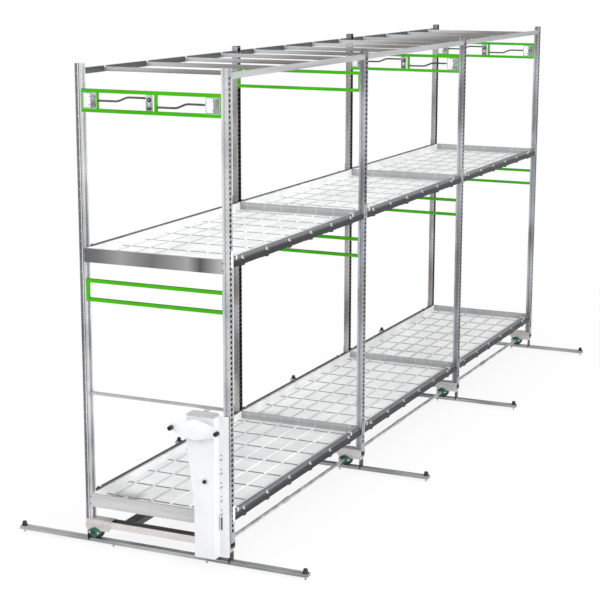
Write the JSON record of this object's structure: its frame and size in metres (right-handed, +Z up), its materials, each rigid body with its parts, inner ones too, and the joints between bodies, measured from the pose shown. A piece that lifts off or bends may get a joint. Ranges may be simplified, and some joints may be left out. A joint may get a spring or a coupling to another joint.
{
  "type": "rolling grow rack",
  "caption": "Two-level rolling growing rack with white trays on a rail-guided carriage, driven by a hand turned handle on a column.",
  "frame": {"origin": "on the floor under the middle of the whole rack and its rails", "axes": "+X across the rack to the handle side's right, +Y along the rack away from the handle, +Z up"},
  "size_m": [2.41, 7.612, 3.573],
  "materials": {
    "rail": "matt extruded rail with a fine cross-hatched top",
    "stud": "plain machined steel",
    "stop_rubber": "matt moulded rubber",
    "galvanised": "galvanised sheet, slightly warm grey",
    "channel_dark": "dark grey satin paint",
    "saddle_dark": "near-black satin paint",
    "shoe_grey": "plain zinc-plated plate",
    "bearing_green": "dark green enamelled housings",
    "bolt_steel": "bright zinc-plated",
    "wheel_steel": "dark machined steel",
    "shaft_steel": "plain steel tube",
    "post_steel": "grey galvanised finish",
    "beam_dark": "dark grey powder coat",
    "connector_white": "white powder coat",
    "bar_dark": "dark grey powder coat",
    "clip_white": "white powder coat",
    "tray_white": "white formed plastic with a soft sheen",
    "drain_white": "moulded white plastic",
    "fascia_light": "light grey satin",
    "fascia_brushed": "brushed along its height bands",
    "screw_dark": "blackened screws",
    "frame_green": "bright green powder coat",
    "gear_grey": "light grey sheet boxes",
    "rod_dark": "dark steel rod",
    "top_beam": "mid grey powder coat",
    "cross_bar": "dark grey powder coat",
    "column_white": "smooth white powder coat",
    "cap_grey": "grey satin paint",
    "chain_steel": "oiled steel",
    "handle_white": "smooth white powder coat",
    "grip_black": "matt black moulding"
  },
  "bodies": {
    "track": {"floor_rails": "rail", "rail_stops": "stop_rubber", "levelling_studs": "stud"},
    "rack": {"carriage_beams": "galvanised", "carriage_end_brackets": "galvanised", "carriage_ties": "channel_dark", "anti_tip_saddles": "saddle_dark", "post_shoes": "shoe_grey", "drive_bearings": "bearing_green", "idler_bearings": "bearing_green", "bearing_bolts": "bolt_steel", "uprights_left": "post_steel", "uprights_right": "post_steel", "shelf_beams_lower": "beam_dark", "shelf_beams_mid": "beam_dark", "beam_connectors": "connector_white", "support_bars_lower": "bar_dark", "support_bars_mid": "bar_dark", "bar_clips": "clip_white", "front_fascia_lower": "fascia_light", "front_fascia_mid": "fascia_brushed", "rear_fascias": "fascia_light", "fascia_screws": "screw_dark", "tray_lower_1": "tray_white", "tray_lower_2": "tray_white", "tray_lower_3": "tray_white", "tray_upper_1": "tray_white", "tray_upper_2": "tray_white", "tray_upper_3": "tray_white", "tray_drains": "drain_white", "top_side_beams": "top_beam", "top_cross_bars": "cross_bar", "cross_bar_brackets": "connector_white", "frames_upper": "frame_green", "frames_lower": "frame_green", "hanger_boxes": "gear_grey", "hanger_rods": "rod_dark", "brace_tube": "top_beam", "column_housing": "column_white", "column_back_plate": "cap_grey", "column_cap": "cap_grey", "drive_chain": "chain_steel", "hub_bearing": "shaft_steel"},
    "drive_line": {"drive_shaft": "shaft_steel", "drive_wheels": "wheel_steel", "shaft_couplings": "shaft_steel", "lower_sprocket": "chain_steel"},
    "idler_1": {"idler_wheel_1": "wheel_steel"},
    "idler_2": {"idler_wheel_2": "wheel_steel"},
    "idler_3": {"idler_wheel_3": "wheel_steel"},
    "idler_4": {"idler_wheel_4": "wheel_steel"},
    "handle": {"handle_plate": "handle_white", "hub_shaft": "shaft_steel", "grip_pins": "bolt_steel"},
    "left_grip": {"grip_left": "grip_black"},
    "right_grip": {"grip_right": "grip_black"},
    "lock": {"lock_knob": "grip_black"}
  },
  "joints": [
    {"name": "rack_roll", "type": "slide", "parent": "track", "child": "rack", "axis": [1, 0, 0], "range_m": [-0.56, 0.56]},
    {"name": "drive_spin", "type": "hinge", "parent": "rack", "child": "drive_line", "pos_m": [0.455, -3.594, 0.1083], "axis": [0, 1, 0], "range_deg": [-560, 560]},
    {"name": "idler_spin_1", "type": "hinge", "parent": "rack", "child": "idler_1", "pos_m": [-0.529, -3.594, 0.1083], "axis": [0, 1, 0], "range_deg": [-560, 560]},
    {"name": "idler_spin_2", "type": "hinge", "parent": "rack", "child": "idler_2", "pos_m": [-0.529, -1.154, 0.1083], "axis": [0, 1, 0], "range_deg": [-560, 560]},
    {"name": "idler_spin_3", "type": "hinge", "parent": "rack", "child": "idler_3", "pos_m": [-0.529, 1.286, 0.1083], "axis": [0, 1, 0], "range_deg": [-560, 560]},
    {"name": "idler_spin_4", "type": "hinge", "parent": "rack", "child": "idler_4", "pos_m": [-0.529, 3.726, 0.1083], "axis": [0, 1, 0], "range_deg": [-560, 560]},
    {"name": "handle_turn", "type": "hinge", "parent": "rack", "child": "handle", "pos_m": [0.395, -3.759, 1.045], "axis": [0, 1, 0], "range_deg": [-725, 725]},
    {"name": "left_grip_spin", "type": "hinge", "parent": "handle", "child": "left_grip", "pos_m": [0.212, -3.7637, 1.045], "axis": [0, 1, 0], "continuous": true},
    {"name": "right_grip_spin", "type": "hinge", "parent": "handle", "child": "right_grip", "pos_m": [0.578, -3.7637, 1.045], "axis": [0, 1, 0], "continuous": true},
    {"name": "lock_pull", "type": "slide", "parent": "rack", "child": "lock", "axis": [0, -1, 0], "range_m": [0, 0.012]}
  ],
  "couplings": [
    {"joint": "drive_spin", "follows": "rack_roll", "rad_per_m": 17.241},
    {"joint": "idler_spin_1", "follows": "rack_roll", "rad_per_m": 17.241},
    {"joint": "idler_spin_2", "follows": "rack_roll", "rad_per_m": 17.241},
    {"joint": "idler_spin_3", "follows": "rack_roll", "rad_per_m": 17.241},
    {"joint": "idler_spin_4", "follows": "rack_roll", "rad_per_m": 17.241},
    {"joint": "handle_turn", "follows": "rack_roll", "rad_per_m": 22.414}
  ]
}
